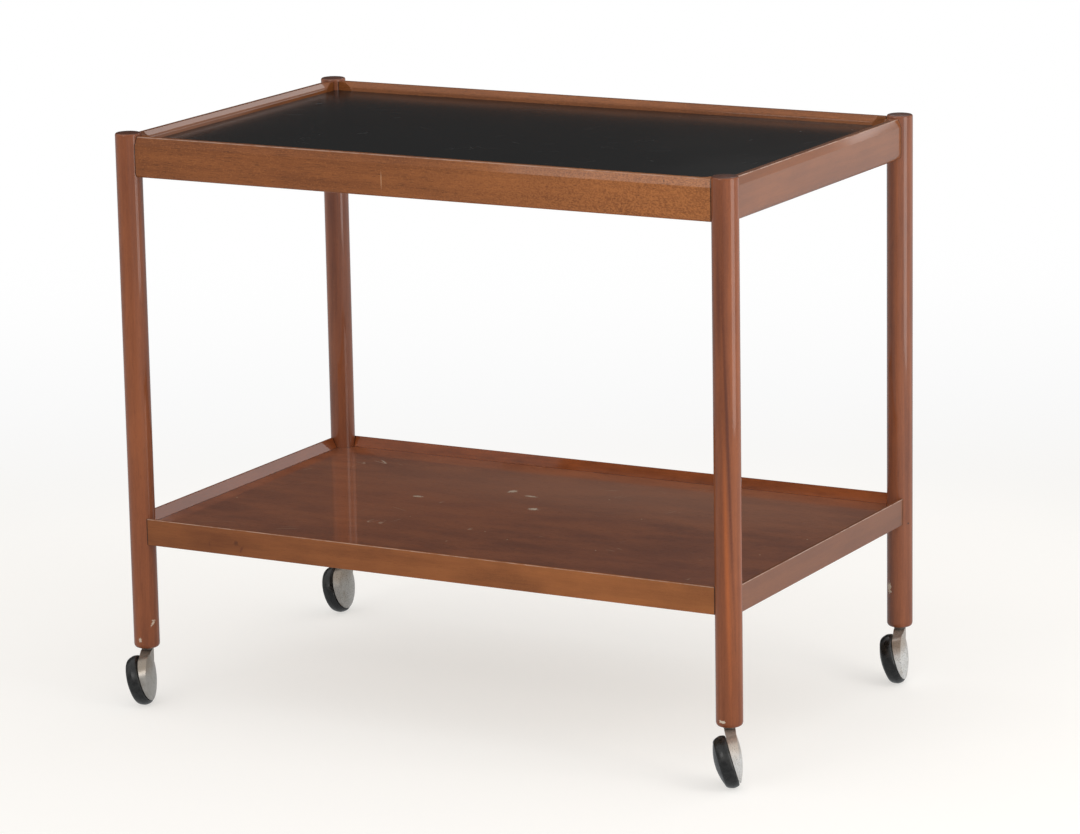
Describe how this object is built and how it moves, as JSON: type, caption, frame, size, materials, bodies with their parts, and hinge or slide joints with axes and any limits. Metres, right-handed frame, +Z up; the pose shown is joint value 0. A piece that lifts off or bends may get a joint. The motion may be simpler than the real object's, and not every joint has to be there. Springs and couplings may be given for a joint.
{
  "type": "serving trolley",
  "caption": "Wooden serving trolley with turned legs, a rimmed tray with a black laminate top, a lower wooden shelf and swivelling hooded casters with cambered rubber-tyred wheels.",
  "frame": {"origin": "on the floor, midway between the four legs", "axes": "+X along the length to the right, +Y along the depth to the back, +Z up; the front long side faces -Y"},
  "size_m": [0.7507, 0.4824, 0.6256],
  "materials": {
    "leg_wood": "satin lacquer on reddish-brown hardwood",
    "rail_wood": "satin lacquer on orange-brown hardwood",
    "shelf_veneer": "glossy lacquer on dark red-brown veneer",
    "panel_core": "raw board",
    "dowel_beech": "raw fluted beech",
    "black_laminate": "semi-gloss black laminate with fine scratches",
    "hood_chrome": "dulled bright plating",
    "caster_steel": "dull darkened steel",
    "tyre_rubber": "worn black rubber",
    "wheel_disc": "moulded black",
    "bush_nylon": "natural"
  },
  "bodies": {
    "frame": {"leg_front_left": "leg_wood", "leg_front_right": "leg_wood", "leg_back_left": "leg_wood", "leg_back_right": "leg_wood", "tray_rail_front": "rail_wood", "tray_rail_right": "rail_wood", "tray_rail_back": "rail_wood", "tray_rail_left": "rail_wood", "shelf_rail_front": "rail_wood", "shelf_rail_right": "rail_wood", "shelf_rail_back": "rail_wood", "shelf_rail_left": "rail_wood", "tray_rail_dowels": "dowel_beech", "shelf_rail_dowels": "dowel_beech", "tray_board": "panel_core", "tray_laminate": "black_laminate", "shelf_board": "panel_core", "shelf_veneer": "shelf_veneer", "caster_front_left_socket": "caster_steel", "caster_front_right_socket": "caster_steel", "caster_back_left_socket": "caster_steel", "caster_back_right_socket": "caster_steel"},
    "caster_front_left_swivel": {"caster_front_left_stem": "caster_steel", "caster_front_left_grip_ring": "caster_steel", "caster_front_left_hood": "hood_chrome", "caster_front_left_axle": "caster_steel", "caster_front_left_retainer": "caster_steel"},
    "caster_front_left_wheel": {"caster_front_left_hub": "wheel_disc", "caster_front_left_bush": "bush_nylon", "caster_front_left_tyre": "tyre_rubber", "caster_front_left_cap": "wheel_disc"},
    "caster_front_right_swivel": {"caster_front_right_stem": "caster_steel", "caster_front_right_grip_ring": "caster_steel", "caster_front_right_hood": "hood_chrome", "caster_front_right_axle": "caster_steel", "caster_front_right_retainer": "caster_steel"},
    "caster_front_right_wheel": {"caster_front_right_hub": "wheel_disc", "caster_front_right_bush": "bush_nylon", "caster_front_right_tyre": "tyre_rubber", "caster_front_right_cap": "wheel_disc"},
    "caster_back_left_swivel": {"caster_back_left_stem": "caster_steel", "caster_back_left_grip_ring": "caster_steel", "caster_back_left_hood": "hood_chrome", "caster_back_left_axle": "caster_steel", "caster_back_left_retainer": "caster_steel"},
    "caster_back_left_wheel": {"caster_back_left_hub": "wheel_disc", "caster_back_left_bush": "bush_nylon", "caster_back_left_tyre": "tyre_rubber", "caster_back_left_cap": "wheel_disc"},
    "caster_back_right_swivel": {"caster_back_right_stem": "caster_steel", "caster_back_right_grip_ring": "caster_steel", "caster_back_right_hood": "hood_chrome", "caster_back_right_axle": "caster_steel", "caster_back_right_retainer": "caster_steel"},
    "caster_back_right_wheel": {"caster_back_right_hub": "wheel_disc", "caster_back_right_bush": "bush_nylon", "caster_back_right_tyre": "tyre_rubber", "caster_back_right_cap": "wheel_disc"}
  },
  "joints": [
    {"name": "caster_front_left_turn", "type": "hinge", "parent": "frame", "child": "caster_front_left_swivel", "pos_m": [-0.353, -0.211, 0.05915], "axis": [0, 0, 1], "continuous": true},
    {"name": "caster_front_left_roll", "type": "hinge", "parent": "caster_front_left_swivel", "child": "caster_front_left_wheel", "pos_m": [-0.34468, -0.22924, 0.02816], "axis": [0.9004, 0.3366, 0.2756], "continuous": true},
    {"name": "caster_front_right_turn", "type": "hinge", "parent": "frame", "child": "caster_front_right_swivel", "pos_m": [0.353, -0.211, 0.05915], "axis": [0, 0, 1], "continuous": true},
    {"name": "caster_front_right_roll", "type": "hinge", "parent": "caster_front_right_swivel", "child": "caster_front_right_wheel", "pos_m": [0.36407, -0.22772, 0.02816], "axis": [0.8366, 0.4733, 0.2756], "continuous": true},
    {"name": "caster_back_left_turn", "type": "hinge", "parent": "frame", "child": "caster_back_left_swivel", "pos_m": [-0.353, 0.211, 0.05915], "axis": [0, 0, 1], "continuous": true},
    {"name": "caster_back_left_roll", "type": "hinge", "parent": "caster_back_left_swivel", "child": "caster_back_left_wheel", "pos_m": [-0.34832, 0.19151, 0.02816], "axis": [0.9481, 0.1587, 0.2756], "continuous": true},
    {"name": "caster_back_right_turn", "type": "hinge", "parent": "frame", "child": "caster_back_right_swivel", "pos_m": [0.353, 0.211, 0.05915], "axis": [0, 0, 1], "continuous": true},
    {"name": "caster_back_right_roll", "type": "hinge", "parent": "caster_back_right_swivel", "child": "caster_back_right_wheel", "pos_m": [0.35969, 0.1921, 0.02816], "axis": [0.9263, 0.2569, 0.2756], "continuous": true}
  ]
}
